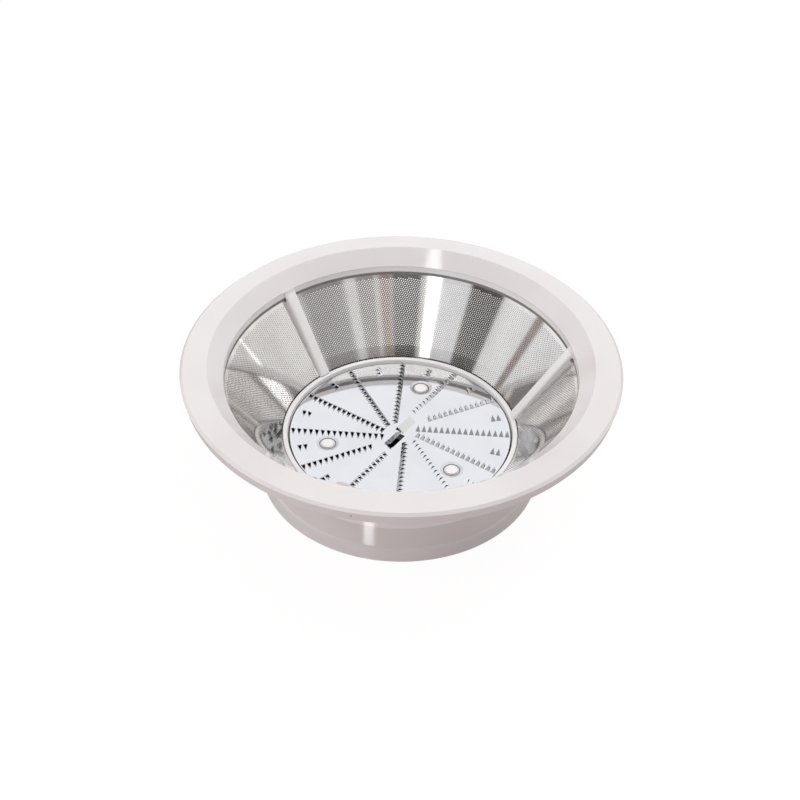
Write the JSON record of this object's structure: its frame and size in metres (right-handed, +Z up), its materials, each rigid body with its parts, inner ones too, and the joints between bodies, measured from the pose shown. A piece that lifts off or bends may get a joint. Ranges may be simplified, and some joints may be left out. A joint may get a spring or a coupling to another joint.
{
  "type": "juicer sieve basket",
  "caption": "Round juicer sieve basket: white moulded rim and drive base, conical steel mesh wall, and a flat steel grating disc with rows of raised teeth.",
  "frame": {"origin": "centre of the skirt's lower edge, on the spin axis", "axes": "+Z up along the spin axis towards the open rim; +Y within about a degree of one of the three ribs"},
  "size_m": [0.18, 0.18, 0.0572],
  "materials": {
    "white_plastic": "glossy injection-moulded white plastic",
    "screen_steel": "bright rolled stainless sheet with fine perforation",
    "disc_steel": "polished stainless sheet"
  },
  "bodies": {
    "root": {"rim_frame": "white_plastic", "drive_base": "white_plastic", "mesh_screen": "screen_steel", "grating_disc": "disc_steel"}
  },
  "joints": []
}
